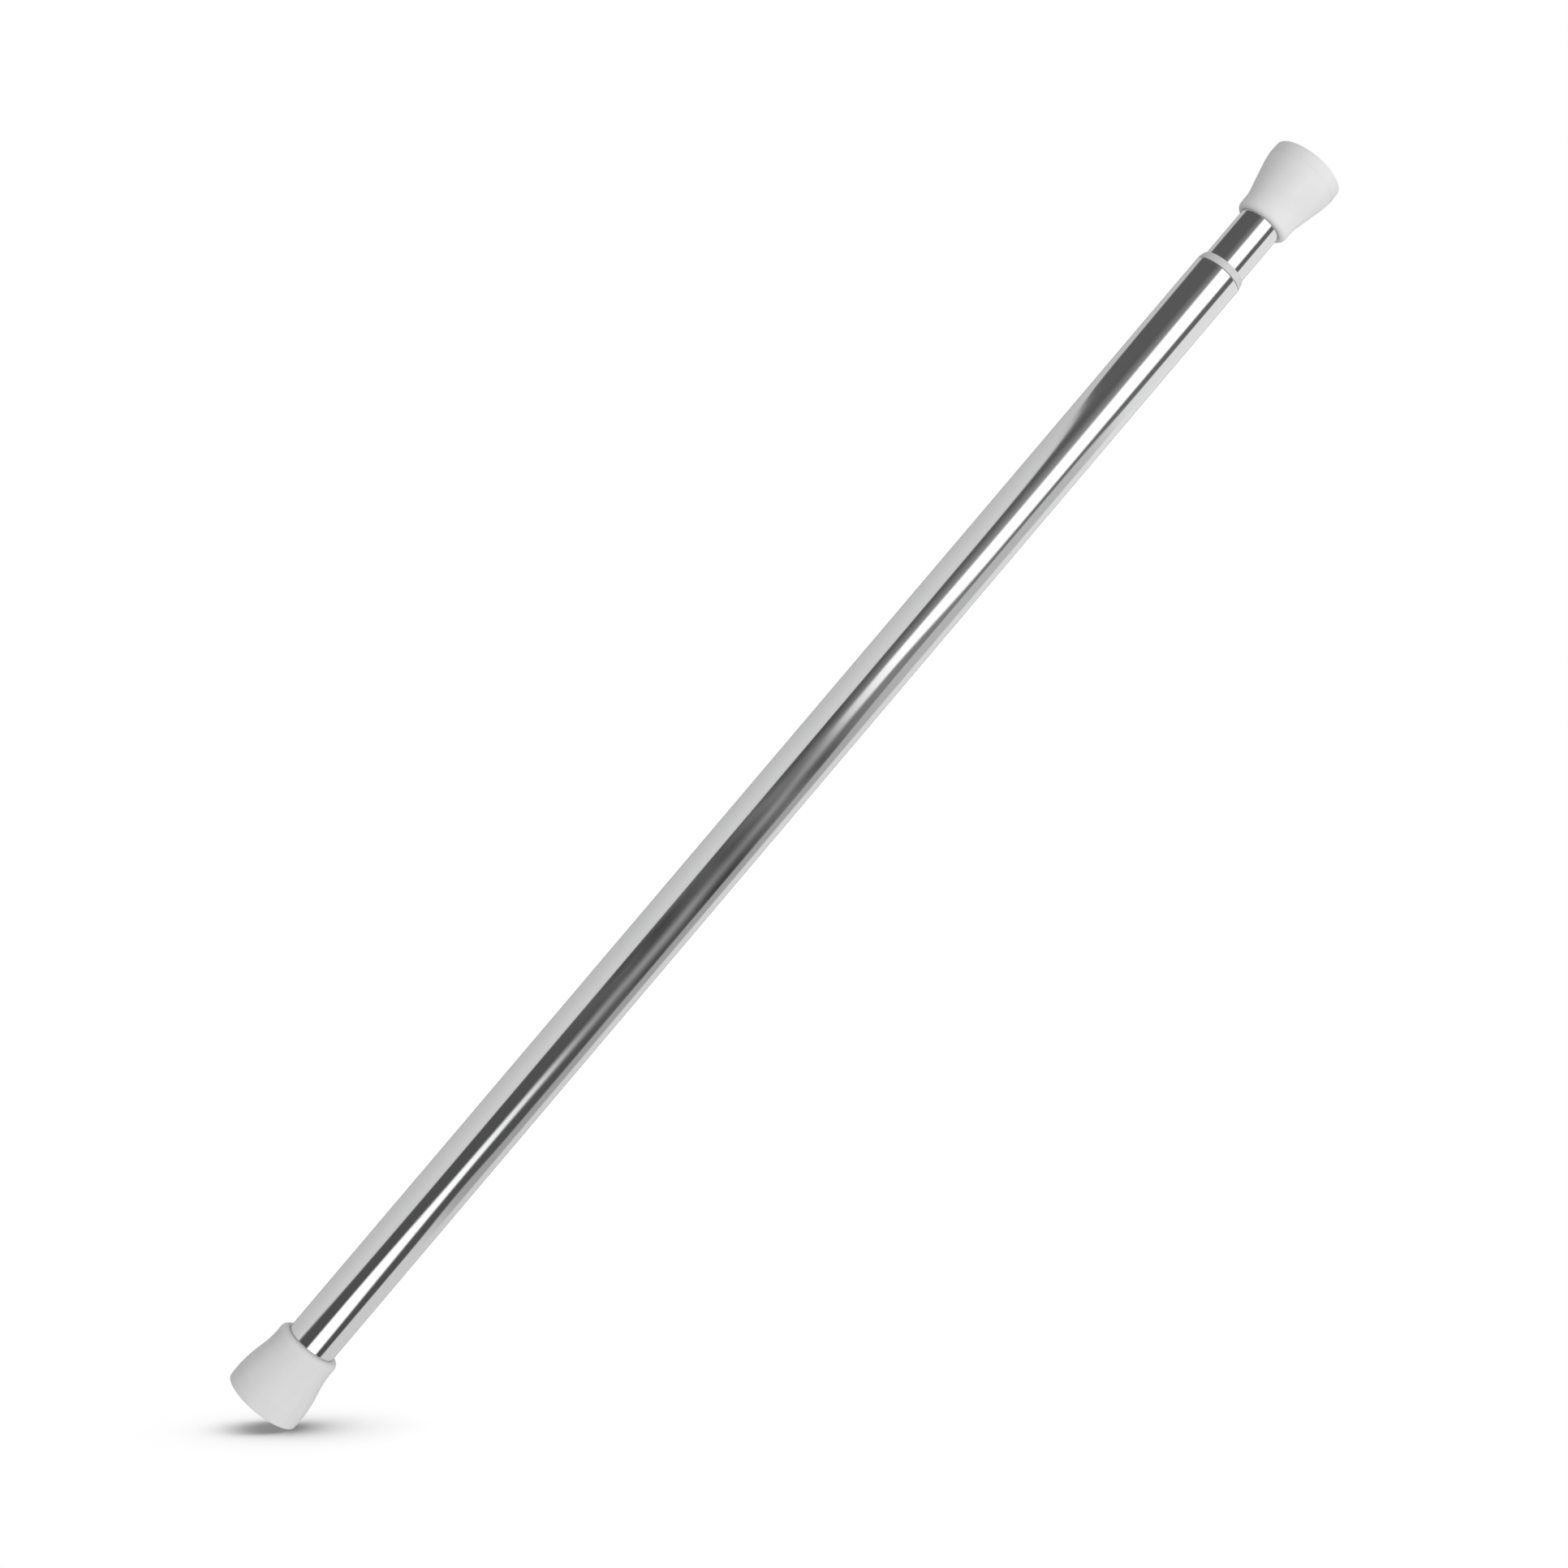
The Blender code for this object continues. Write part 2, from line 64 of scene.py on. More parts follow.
TREAD_DEPTH = 0.0006

# how far a rounding reaches, and its steps
MOUTH_LEAD_IN = (0.0005, 5)
PAD_EDGE = (0.0006, 3)
BOLT_POCKET_EDGE = (0.0005, 3)

# distance from the face, radius, how far the rounding reaches and its steps
LEFT_FOOT_OUTLINE = (
    (0.0000, 0.0246, 0.0009, 6),
    (0.0060, 0.0249, 0.0040, 6),
    (0.0145, 0.0246, 0.0060, 10),
    (0.0336, 0.0205, 0.0050, 10),
    (0.0448, 0.0207, 0.0034, 12),
)
RIGHT_FOOT_OUTLINE = (
    (0.0000, 0.0239, 0.0007, 6),
    (0.0045, 0.0242, 0.0030, 6),
    (0.0105, 0.0240, 0.0050, 10),
    (0.0354, 0.0179, 0.0024, 10),
    (0.0460, 0.0178, 0.0031, 12),
)

# rubber: colours and roughness from one tone to the other, texture scales, bump strength and depth
RUBBER_TONES = ((0.610, 0.612, 0.610), (0.645, 0.646, 0.643))
RUBBER_ROUGHNESS = (0.50, 0.60)
RUBBER_GRAIN = 2600.0
RUBBER_FLOW = 70.0
RUBBER_BUMP = (0.25, 0.00012)
RUBBER_SPECULAR = 0.35

# moulded skin: fine spark texture under long flow marks
SPARK_DETAIL = 2.0
SPARK_ROUGHNESS = 0.6
FLOW_STRETCH = (0.35, 1.0, 1.0)
FLOW_DETAIL = 4.0
FLOW_HEIGHT = 0.5
FLOW_RANGE = (0.3, 0.7)

RING_TOLERANCE = 2e-6
SHARP_EDGE = math.radians(35)


def round_ring(mesh, x, radius, reach, steps):
    """Round the circular edge at (x, radius) of a turned mesh."""
    ring = [
        edge for edge in mesh.edges
        if all(
            abs(v.co.x - x) < RING_TOLERANCE and abs(v.co.yz.length - radius) < RING_TOLERANCE
            for v in edge.verts
        )
    ]
    bmesh.ops.bevel(
        mesh, geom=ring, affect="EDGES", offset_type="OFFSET", offset=reach,
        segments=steps, profile=0.5, material=-1, clamp_overlap=False,
    )


def turn(corners, sides, closed):
    """Spin (x, radius[, reach, steps]) corners about the bar's axis. An open profile gets flat ends."""
    mesh = bmesh.new()
    points = [mesh.verts.new((corner[0], 0.0, corner[1])) for corner in corners]
    chain = [mesh.edges.new(pair) for pair in zip(points, points[1:])]
    if closed:
        chain.append(mesh.edges.new((points[-1], points[0])))
    bmesh.ops.spin(
        mesh, geom=points + chain, cent=(0, 0, 0), axis=(1, 0, 0),
        angle=math.tau, steps=sides, use_merge=True,
    )
    bmesh.ops.holes_fill(mesh, edges=[e for e in mesh.edges if e.is_boundary], sides=0)
    bmesh.ops.recalc_face_normals(mesh, faces=mesh.faces)
    for corner in corners:
        if len(corner) > 2:
            round_ring(mesh, *corner)
    return mesh


def make_piece(name, mesh, material, slot, body, *nodes):
    """Turn a finished bmesh into a smooth piece that rides on a body and stands for CAD nodes."""
    data = bpy.data.meshes.new(name)
    mesh.to_mesh(data)
    mesh.free()
    data.materials.append(material)
    data.shade_smooth()
    data.set_sharp_from_angle(angle=SHARP_EDGE)
    piece = bpy.data.objects.new(name, data)
    bpy.context.scene.collection.objects.link(piece)
    even = piece.modifiers.new("even_shading", "WEIGHTED_NORMAL")
    even.keep_sharp = True
    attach(piece, body)
    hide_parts(*nodes)
    return piece


def give(tree, node, inputs):
    """Link or set a node's inputs from (socket, value) pairs."""
    for socket, value in inputs:
        if isinstance(value, bpy.types.NodeSocket):
            tree.links.new(value, node.inputs[socket])
        else:
            node.inputs[socket].default_value = value


def add_node(tree, kind, inputs=(), **settings):
    """Add a node, set its properties and give it its inputs."""
    node = tree.nodes.new(kind)
    for setting, value in settings.items():
        setattr(node, setting, value)
    give(tree, node, inputs)
    return node


def remap(tree, value, low, high, to_low, to_high, shape="LINEAR"):
    """A Map Range node's result."""
    node = add_node(
        tree, "ShaderNodeMapRange",
        [(0, value), (1, low), (2, high), (3, to_low), (4, to_high)],
        interpolation_type=shape, clamp=True,
    )
    return node.outputs["Result"]


def calculate(tree, operation, *values):
    """A Math node's result from its one, two or three values."""
    return add_node(tree, "ShaderNodeMath", enumerate(values), operation=operation).outputs[0]


def noise(tree, place, scale, detail, roughness=0.5):
    """A noise texture's value over a position."""
    node = add_node(
        tree, "ShaderNodeTexNoise",
        [("Vector", place), ("Scale", scale), ("Detail", detail), ("Roughness", roughness)],
    )
    return node.outputs["Fac"]


def stretch(tree, place, scale):
    """A position scaled by a Mapping node, so that a pattern on it is drawn out."""
    node = add_node(tree, "ShaderNodeMapping", [("Vector", place), ("Scale", scale)])
    return node.outputs["Vector"]


def new_group(name, values, results):
    """A shader node group that takes a Place and named values, and puts out named values."""
    group = bpy.data.node_groups.new(name, "ShaderNodeTree")
    group.interface.new_socket("Place", in_out="INPUT", socket_type="NodeSocketVector")
    for socket in values:
        group.interface.new_socket(socket, in_out="INPUT", socket_type="NodeSocketFloat")
    for socket in results:
        group.interface.new_socket(socket, in_out="OUTPUT", socket_type="NodeSocketFloat")
    given = group.nodes.new("NodeGroupInput").outputs
    result = group.nodes.new("NodeGroupOutput").inputs
    return group, given, result


def build_moulded_skin():
    """Height and blotch of a moulded surface: fine spark texture, slight sink and flow marks."""
    group, given, result = new_group("moulded_skin", ["Grain", "Flow"], ["Height", "Blotch"])
    spark = noise(group, given["Place"], given["Grain"], SPARK_DETAIL, SPARK_ROUGHNESS)
    drawn_out = stretch(group, given["Place"], FLOW_STRETCH)
    marks = noise(group, drawn_out, given["Flow"], FLOW_DETAIL)
    height = calculate(group, "MULTIPLY_ADD", marks, FLOW_HEIGHT, spark)
    group.links.new(height, result["Height"])
    group.links.new(remap(group, marks, *FLOW_RANGE, 0.0, 1.0), result["Blotch"])
    return group


def start_material(name, group, *values):
    """A node material with its shader, and a node group on the piece's own object coordinates."""
    material = bpy.data.materials.new(name)
    material.use_nodes = True
    tree = material.node_tree
    place = add_node(tree, "ShaderNodeTexCoord").outputs["Object"]
    pattern = add_node(tree, "ShaderNodeGroup", node_tree=group)
    give(tree, pattern, [("Place", place), *values])
    return material, tree, tree.nodes["Principled BSDF"], pattern.outputs


def set_surface(tree, shader, tone, tones, roughness, height, bump):
    """Give a shader its colour and roughness by a tone from 0 to 1, and its bump from a height."""
    first, second = tones
    colour = add_node(
        tree, "ShaderNodeMix", [("Factor", tone), ("A", (*first, 1.0)), ("B", (*second, 1.0))],
        data_type="RGBA",
    )
    strength, distance = bump
    relief = add_node(
        tree, "ShaderNodeBump", [("Height", height), ("Strength", strength), ("Distance", distance)]
    )
    tree.links.new(colour.outputs["Result"], shader.inputs["Base Color"])
    tree.links.new(remap(tree, tone, 0.0, 1.0, *roughness), shader.inputs["Roughness"])
    tree.links.new(relief.outputs["Normal"], shader.inputs["Normal"])


def build_moulded(name, tones, roughness, grain, flow, bump):
    """A material with the moulded skin, and its shader."""
    material, tree, shader, skin = start_material(
        name, moulded_skin, ("Grain", grain), ("Flow", flow)
    )
    set_surface(tree, shader, skin["Blotch"], tones, roughness, skin["Height"], bump)
    return material, shader


def press_tread(mesh, face):
    """Press ring grooves into a flat round face, working inwards from its rim."""
    rim = max(v.co.yz.length for v in face.verts)
    for radius in TREAD_RADII:
        floor_width = TREAD_WIDTH - 2 * TREAD_WALL
        for width, rise in (
            (rim - radius - TREAD_WIDTH / 2, 0.0),
            (TREAD_WALL, -TREAD_DEPTH), (floor_width, 0.0), (TREAD_WALL, TREAD_DEPTH),
        ):
            bmesh.ops.inset_individual(
                mesh, faces=[face], thickness=width, depth=rise, use_even_offset=True
            )
        rim = radius - TREAD_WIDTH / 2


def foot_mesh(face_x, inward, outline, bore):
    """A foot from its face inwards along +X (inward 1) or -X (inward -1)."""
    length = outline[-1][0]
    inside = [
        (length, bore, *MOUTH_LEAD_IN),
        (FOOT_PAD, bore, *PAD_EDGE),
        (FOOT_PAD, BOLT_POCKET_RADIUS, *BOLT_POCKET_EDGE),
        (BOLT_POCKET_FLOOR, BOLT_POCKET_RADIUS),
    ]
    corners = [
        (face_x + inward * distance, *rest) for distance, *rest in [*outline, *inside]
    ]
    mesh = turn(corners, FOOT_SIDES, closed=False)
    press_tread(mesh, min(mesh.faces, key=lambda f: inward * f.calc_center_median().x))
    return mesh


moulded_skin = build_moulded_skin()
foot_rubber, rubber_shader = build_moulded(
    "foot_rubber", RUBBER_TONES, RUBBER_ROUGHNESS, RUBBER_GRAIN, RUBBER_FLOW, RUBBER_BUMP
)
rubber_shader.inputs["Specular IOR Level"].default_value = RUBBER_SPECULAR

left_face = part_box("left_foot_boot")[0].x
right_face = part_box("right_foot_boot")[1].x
outer_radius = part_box("outer_tube")[1].z
inner_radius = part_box("inner_tube")[1].z
feet = [
    make_piece(
        name, foot_mesh(face_x, inward, outline, tube_radius + MOUTH_FIT),
        foot_rubber, "foot_rubber", body, f"{name}_boot",
    )
    for name, face_x, inward, outline, tube_radius, body in (
        ("left_foot", left_face, 1, LEFT_FOOT_OUTLINE, outer_radius, "fixed_foot"),
        ("right_foot", right_face, -1, RIGHT_FOOT_OUTLINE, inner_radius, "inner_tube"),
    )
]


# ---------------------------------------------------------------------------------------------
# Tubes. Two lengths of seam-welded steel tube, ground and polished round, then nickel and chrome
# plated. The thin one slides in the thick one. Their cut ends are lightly broken.
# ---------------------------------------------------------------------------------------------
TUBE_SIDES = 256
TUBE_EDGE = 0.00035
TUBE_EDGE_STEPS = 4
TUBE_WALL = 0.0012

# chrome: colours and roughness from clean to hazed, bump strength and depth
CHROME_TONES = ((0.865, 0.867, 0.872), (0.835, 0.837, 0.842))
CHROME_ROUGHNESS = (0.045, 0.085)
CHROME_BUMP = (0.05, 0.00002)
CHROME_LINES = 0.15
CHROME_RIPPLE = 1.0

# polish marks: how far each pattern is drawn out along and round the bar, and its detail
LINES_STRETCH = (6000.0, 120.0, 120.0)
RIPPLE_STRETCH = (18.0, 60.0, 60.0)
MARKS_DETAIL = 2.0
HAZE_STRETCH = (9.0, 45.0, 45.0)
HAZE_DETAIL = 5.0
HAZE_ROUGHNESS = 0.6
HAZE_RANGE = (0.35, 0.75)


def build_polish_marks():
    """Streaks of a belt-polished tube: faint lines round it, and a slow ripple along it."""
    group, given, result = new_group("polish_marks", ["Lines", "Ripple"], ["Height", "Haze"])
    place = given["Place"]
    fine = noise(group, stretch(group, place, LINES_STRETCH), 1.0, MARKS_DETAIL)
    slow = noise(group, stretch(group, place, RIPPLE_STRETCH), 1.0, MARKS_DETAIL)
    rippled = calculate(group, "MULTIPLY", slow, given["Ripple"])
    height = calculate(group, "MULTIPLY_ADD", fine, given["Lines"], rippled)
    haze = noise(group, stretch(group, place, HAZE_STRETCH), 1.0, HAZE_DETAIL, HAZE_ROUGHNESS)
    group.links.new(height, result["Height"])
    group.links.new(remap(group, haze, *HAZE_RANGE, 0.0, 1.0), result["Haze"])
    return group


def build_chrome():
    """Chrome plate: near mirror, with faint polishing lines and a breath of handling haze."""
    material, tree, shader, marks = start_material(
        "chrome_plate", build_polish_marks(), ("Lines", CHROME_LINES), ("Ripple", CHROME_RIPPLE)
    )
    set_surface(
        tree, shader, marks["Haze"], CHROME_TONES, CHROME_ROUGHNESS, marks["Height"], CHROME_BUMP
    )
    shader.inputs["Metallic"].default_value = 1.0
    return material


def tube_mesh(node):
    """A tube as long as its CAD node, with its ends' edges broken."""
    low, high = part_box(node)
    radius, bore = high.z, high.z - TUBE_WALL
    outside = (radius, TUBE_EDGE, TUBE_EDGE_STEPS)
    inside = (bore, TUBE_EDGE / 2, TUBE_EDGE_STEPS // 2)
    corners = [(low.x, *outside), (high.x, *outside), (high.x, *inside), (low.x, *inside)]
    return turn(corners, TUBE_SIDES, closed=True)


chrome_plate = build_chrome()
for tube in ("outer_tube", "inner_tube"):
    make_piece(f"{tube}_plated", tube_mesh(tube), chrome_plate, "chrome_tube", tube, tube)


# ---------------------------------------------------------------------------------------------
# Collar. A satin plastic bush pressed into the thick tube's mouth. Its ring stands level with the
# tube and its nose slopes down to the thin tube, which it guides and wipes.
# ---------------------------------------------------------------------------------------------
COLLAR_SIDES = 192
COLLAR_RING = 0.0052
COLLAR_SHOULDER = 0.0016
COLLAR_NOSE_RADIUS = 0.0148

# how far a rounding reaches, and its steps
RING_EDGE = (0.0003, 4)
SHOULDER_EDGE = (0.0011, 8)
NOSE_EDGE = (0.0004, 5)
WIPER_EDGE = (0.0003, 3)

COLLAR_TONES = ((0.490, 0.491, 0.490), (0.530, 0.531, 0.530))
COLLAR_ROUGHNESS = (0.32, 0.40)
COLLAR_GRAIN = 3200.0
COLLAR_FLOW = 160.0
COLLAR_BUMP = (0.15, 0.00006)

collar_low, collar_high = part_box("mouth_collar")
ring_x = collar_high.x - COLLAR_RING
sleeve_radius = outer_radius - TUBE_WALL - MOUTH_FIT
wiper_radius = inner_radius + MOUTH_FIT
collar = turn(
    [
        (collar_low.x, sleeve_radius),
        (ring_x, sleeve_radius),
        (ring_x, outer_radius, *RING_EDGE),
        (ring_x + COLLAR_SHOULDER, outer_radius, *SHOULDER_EDGE),
        (collar_high.x, COLLAR_NOSE_RADIUS, *NOSE_EDGE),
        (collar_high.x, wiper_radius, *WIPER_EDGE),
        (collar_low.x, wiper_radius),
    ],
    COLLAR_SIDES, closed=True,
)
collar_plastic, _ = build_moulded(
    "collar_plastic", COLLAR_TONES, COLLAR_ROUGHNESS, COLLAR_GRAIN, COLLAR_FLOW, COLLAR_BUMP
)
make_piece("collar_ring", collar, collar_plastic, "collar_plastic", "outer_tube", "mouth_collar")


# ---------------------------------------------------------------------------------------------
# Pieces inside. An oiled steel screw, pinned to a moulded plug, turns in a nylon nut riveted to the
# thin tube. Zinc plated bolts, discs and screws hold the plugs and feet. They keep their CAD shapes.
# ---------------------------------------------------------------------------------------------
INSIDE_GRAIN = 2400.0
INSIDE_FLOW = 300.0
INSIDE_BUMP = (0.2, 0.0001)
INSIDE_ROUGHNESS_SPREAD = 0.12

# by slot: the finish's name, its two tones, its lowest roughness and how metallic it is
INSIDE_FINISHES = {
    "plug_plastic": ("plug_plastic", ((0.040, 0.041, 0.044), (0.060, 0.061, 0.065)), 0.45, 0.0),
    "nylon": ("natural_nylon", ((0.76, 0.75, 0.69), (0.82, 0.81, 0.76)), 0.35, 0.0),
    "zinc_steel": ("zinc_plate", ((0.55, 0.57, 0.60), (0.66, 0.67, 0.68)), 0.25, 1.0),
    "spindle_steel": ("oiled_steel", ((0.36, 0.36, 0.37), (0.48, 0.48, 0.48)), 0.28, 1.0),
}

inside_materials = {}
for slot, (name, tones, smoothest, metallic) in INSIDE_FINISHES.items():
    inside_materials[slot], inside_shader = build_moulded(
        name, tones, (smoothest, smoothest + INSIDE_ROUGHNESS_SPREAD),
        INSIDE_GRAIN, INSIDE_FLOW, INSIDE_BUMP,
    )
    inside_shader.inputs["Metallic"].default_value = metallic

for part in frame["record"]["subparts"]:
    node = frame["nodes"][part["node"]]
    if not node.hide_render:
        node.data.materials.clear()
        node.data.materials.append(inside_materials[part["material_slot"]])


# ---------------------------------------------------------------------------------------------
# Camera. It looks square at the bar, a little nearer its fixed foot, and is rolled so that the bar
# leans up to the right.
# ---------------------------------------------------------------------------------------------
CAMERA_DISTANCE = 1.38
CAMERA_LENS = 52.37
CAMERA_REACH = 100.0
CAMERA_AIM = Vector((-0.00695, 0.0, 0.0008))
BAR_LEAN = math.radians(49.7)
NEAR_END_TURN = math.radians(2.3)

aim = Vector(((left_face + right_face) / 2, 0.0, 0.0)) + CAMERA_AIM
forward = Vector((math.sin(NEAR_END_TURN), math.cos(NEAR_END_TURN), 0.0))
along = Vector((math.cos(NEAR_END_TURN), -math.sin(NEAR_END_TURN), 0.0))
upward = Vector((0.0, 0.0, 1.0))
image_right = math.cos(BAR_LEAN) * along - math.sin(BAR_LEAN) * upward
image_up = math.sin(BAR_LEAN) * along + math.cos(BAR_LEAN) * upward
camera = bpy.data.objects.new("camera", bpy.data.cameras.new("camera"))
camera.data.lens = CAMERA_LENS
camera.data.clip_end = CAMERA_REACH
turned = Matrix((image_right, image_up, -forward)).transposed().to_4x4()
camera.matrix_world = Matrix.Translation(aim - CAMERA_DISTANCE * forward) @ turned
bpy.context.scene.collection.objects.link(camera)
bpy.context.scene.camera = camera
bpy.context.scene.view_settings.view_transform = "Standard"


# ---------------------------------------------------------------------------------------------
# Floor. A white sheet under the fixed foot's lower edge. It glows as bright as the backdrop, with a
# painted contact shadow: ambient occlusion darkens its glow where the bar stands close over it.
# It is clear from below.
# ---------------------------------------------------------------------------------------------
FLOOR_REACH = 0.35
FLOOR_TILT = math.radians(5.0)
# painted contact shadow: how far the occlusion looks, the openness it spans, its darkest glow, its
# samples
SHADE_REACH = 0.07
SHADE_RANGE = (0.3, 1.0)
SHADE_DARKEST = 0.25
SHADE_SAMPLES = 24

floor_normal = math.cos(FLOOR_TILT) * image_up + math.sin(FLOOR_TILT) * forward
touch = min((v.co for v in feet[0].data.vertices), key=floor_normal.dot).copy()
floor_mesh = bmesh.new()
bmesh.ops.create_grid(
    floor_mesh, x_segments=1, y_segments=1, size=FLOOR_REACH,
    matrix=Matrix.Translation(touch) @ floor_normal.to_track_quat("Z", "Y").to_matrix().to_4x4(),
)
floor_data = bpy.data.meshes.new("floor")
floor_mesh.to_mesh(floor_data)
floor_mesh.free()
floor = bpy.data.objects.new("floor", floor_data)
bpy.context.scene.collection.objects.link(floor)
floor.visible_diffuse = False
floor.visible_glossy = False
floor.visible_shadow = False

white_sheet_painted_shadow = bpy.data.materials.new("white_sheet_painted_shadow")
white_sheet_painted_shadow.use_nodes = True
sheet = white_sheet_painted_shadow.node_tree
sheet.nodes.clear()
# painted shadow: the sheet's glow is darkened by ambient occlusion near the bar, not by any lamp
openness = add_node(
    sheet, "ShaderNodeAmbientOcclusion", [("Distance", SHADE_REACH)], samples=SHADE_SAMPLES
)
painted_shadow_tone = remap(sheet, openness.outputs["AO"], *SHADE_RANGE, SHADE_DARKEST, 1.0, "SMOOTHSTEP")
painted_shadow_glow = add_node(sheet, "ShaderNodeEmission", [("Color", painted_shadow_tone)])
clear = add_node(sheet, "ShaderNodeBsdfTransparent")
below = add_node(sheet, "ShaderNodeNewGeometry").outputs["Backfacing"]
shown = add_node(
    sheet, "ShaderNodeMixShader", [(0, below), (1, painted_shadow_glow.outputs[0]), (2, clear.outputs[0])]
)
sheet.links.new(shown.outputs[0], add_node(sheet, "ShaderNodeOutputMaterial").inputs["Surface"])
floor_data.materials.append(white_sheet_painted_shadow)


# ---------------------------------------------------------------------------------------------
# Studio. A white backdrop and soft light from below and in front. The chrome mirrors long panels
# beside the bar, placed by "across", 1 above the bar, 0 behind the camera and -1 below it, and by
# "station" along the bar, 0 at the fixed foot and 1 at the collar.
# ---------------------------------------------------------------------------------------------
GLOW_DIRECTION = Vector((0.15, -0.88, -0.45)).normalized()
GLOW_RANGE = (0.15, 1.29)
CHROME_REFLECTANCE = 0.85
DISPLAY_GAMMA = 2.2
SMALLEST = 1e-6

# across: how soft the bands' edges are, and where a grey changes to the next
BAND_BLUR = 0.06
GROUND_EDGE = -0.81
WALL_SPAN = (0.95, 0.5)
FLAG_SPAN = (0.27, 0.02)
BACK_WALL_SPAN = (0.984, 0.993)

# greys from 0 to 1, and the softness of the panel's edges by its grey
WALL_GREYS = (0.715, 0.785)
FLAG_STATIONS = (0.2, 0.5)
FLAG_GREYS = (0.3, 0.335)
FLAG_LIFT_STATIONS = (0.48, 0.62)
FLAG_LIFT = 0.2
GROUND_SPAN = (0.1, 0.9)
GROUND_GREYS = (0.77, 0.85)
BACK_WALL_GREY = 0.36
PANEL_GREYS = (0.5, 1.0)
PANEL_BLURS = (0.26, 0.09)

# dim shapes in the middle of the bar, and the low shelf's lines, which fade where it is bright
MOTTLE_SCALE = 17.0
MOTTLE_DETAIL = 1.0
MOTTLE_STRETCH = 0.12
MOTTLE_RANGE = (0.3, 0.7)
MOTTLE_STRENGTH = 0.08
MOTTLE_STARTS = (0.25, 0.36)
MOTTLE_ENDS = (0.64, 0.54)
LINE_PITCH = 0.056
LINE_STRENGTH = 0.055
LINE_GREYS = (0.74, 0.6)

# the bands' edges, as (station, across) points
FLAG_TOP = (
    (0, 0.42), (0.06, 0.345), (0.2, 0.32), (0.75, 0.335), (0.8, 0.375), (0.845, 0.52), (0.88, 0.79),
    (1, 0.855),
)
PANEL_TOP = (
    (0, 0.01), (0.06, 0.0), (0.16, -0.08), (0.35, -0.15), (0.5, -0.15), (0.6, 0.02), (0.78, -0.03),
    (1, 0.02),
)
PANEL_BOTTOM = (
    (0, -0.4), (0.18, -0.295), (0.36, -0.385), (0.5, -0.37), (0.6, -0.27), (0.75, -0.42), (1, -0.42),
)
FLAG_BOTTOM = (
    (0, -0.585), (0.1, -0.59), (0.15, -0.54), (0.2, -0.595), (0.5, -0.605), (0.65, -0.525),
    (0.83, -0.525), (0.88, -0.59), (1, -0.6),
)

# the bands' greys, as (station, grey) points
PANEL_GREY = (
    (0, 1.02), (0.12, 1.0), (0.2, 0.93), (0.3, 0.58), (0.35, 0.5), (0.5, 0.51), (0.6, 0.85),
    (0.65, 1.01), (1, 1.03),
)
LOW_FLAG_GREY = (
    (0, 0.3), (0.4, 0.31), (0.5, 0.34), (0.64, 0.47), (0.78, 0.41), (1, 0.36),
)
SHELF_GREY = (
    (0, 0.77), (0.1, 0.77), (0.16, 0.60), (0.5, 0.61), (0.65, 0.68), (0.83, 0.70), (0.88, 0.84),
    (1, 0.85),
)

world = bpy.data.worlds.new("studio")
world.use_nodes = True
bpy.context.scene.world = world
sky = world.node_tree
sky.nodes.clear()


def work_out(operation, *values):
    """A Math node's result in the sky."""
    return calculate(sky, operation, *values)


direction = add_node(sky, "ShaderNodeTexCoord").outputs["Generated"]
sideways = add_node(sky, "ShaderNodeSeparateXYZ", [(0, direction)]).outputs
square = work_out("MULTIPLY", sideways["X"], sideways["X"])
off_axis = work_out("SQRT", work_out("MAXIMUM", work_out("SUBTRACT", 1.0, square), SMALLEST))
behind = work_out("DIVIDE", sideways["Y"], off_axis)
half_turn = work_out("MAXIMUM", work_out("MULTIPLY_ADD", behind, 0.5, 0.5), 0.0)
across = work_out("MULTIPLY", work_out("SQRT", half_turn), work_out("SIGN", sideways["Z"]))

tube_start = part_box("left_foot_boot")[1].x
tube_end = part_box("outer_tube")[1].x
lens_x = aim.x - CAMERA_DISTANCE * forward.x
lens_y = CAMERA_DISTANCE * forward.y - outer_radius
slope = work_out("DIVIDE", sideways["X"], off_axis)
mirrored_x = work_out("MULTIPLY_ADD", slope, lens_y, lens_x)
station = remap(sky, mirrored_x, tube_start, tube_end, 0.0, 1.0)


def curve_along(points):
    """A value that varies along the bar, by a smooth curve through (station, value) points."""
    node = add_node(sky, "ShaderNodeFloatCurve", [("Value", station)])
    curve = node.mapping.curves[0]
    node.mapping.use_clip = False
    curve.points[0].location, curve.points[1].location = points[0], points[-1]
    for point in points[1:-1]:
        curve.points.new(*point)
    for point in curve.points:
        point.handle_type = "AUTO_CLAMPED"
    node.mapping.update()
    return node.outputs["Value"]


def fade(value, start, end):
    """0 before start and 1 past end, with a smooth change."""
    return remap(sky, value, start, end, 0.0, 1.0, "SMOOTHSTEP")


def past(edge, blur):
    """1 below a band's edge and 0 above it, with a soft change."""
    gap = work_out("DIVIDE", work_out("SUBTRACT", across, edge), blur)
    return fade(gap, 0.5, -0.5)


def blend_value(factor, first, second):
    """One value, changing to another by a factor."""
    return add_node(
        sky, "ShaderNodeMix", [("Factor", factor), (2, first), (3, second)], data_type="FLOAT"
    ).outputs[0]


panel_grey = curve_along(PANEL_GREY)
shelf_grey = curve_along(SHELF_GREY)
panel_blur = remap(sky, panel_grey, *PANEL_GREYS, *PANEL_BLURS)
wall_grey = remap(sky, across, *WALL_SPAN, *WALL_GREYS)
ground_grey = remap(sky, station, *GROUND_SPAN, *GROUND_GREYS)
flag_grey = remap(sky, station, *FLAG_STATIONS, *FLAG_GREYS)
flag_lift = remap(sky, station, *FLAG_LIFT_STATIONS, 0.0, FLAG_LIFT)
flag_grey = work_out("MULTIPLY_ADD", remap(sky, across, *FLAG_SPAN, 0.0, 1.0), flag_lift, flag_grey)

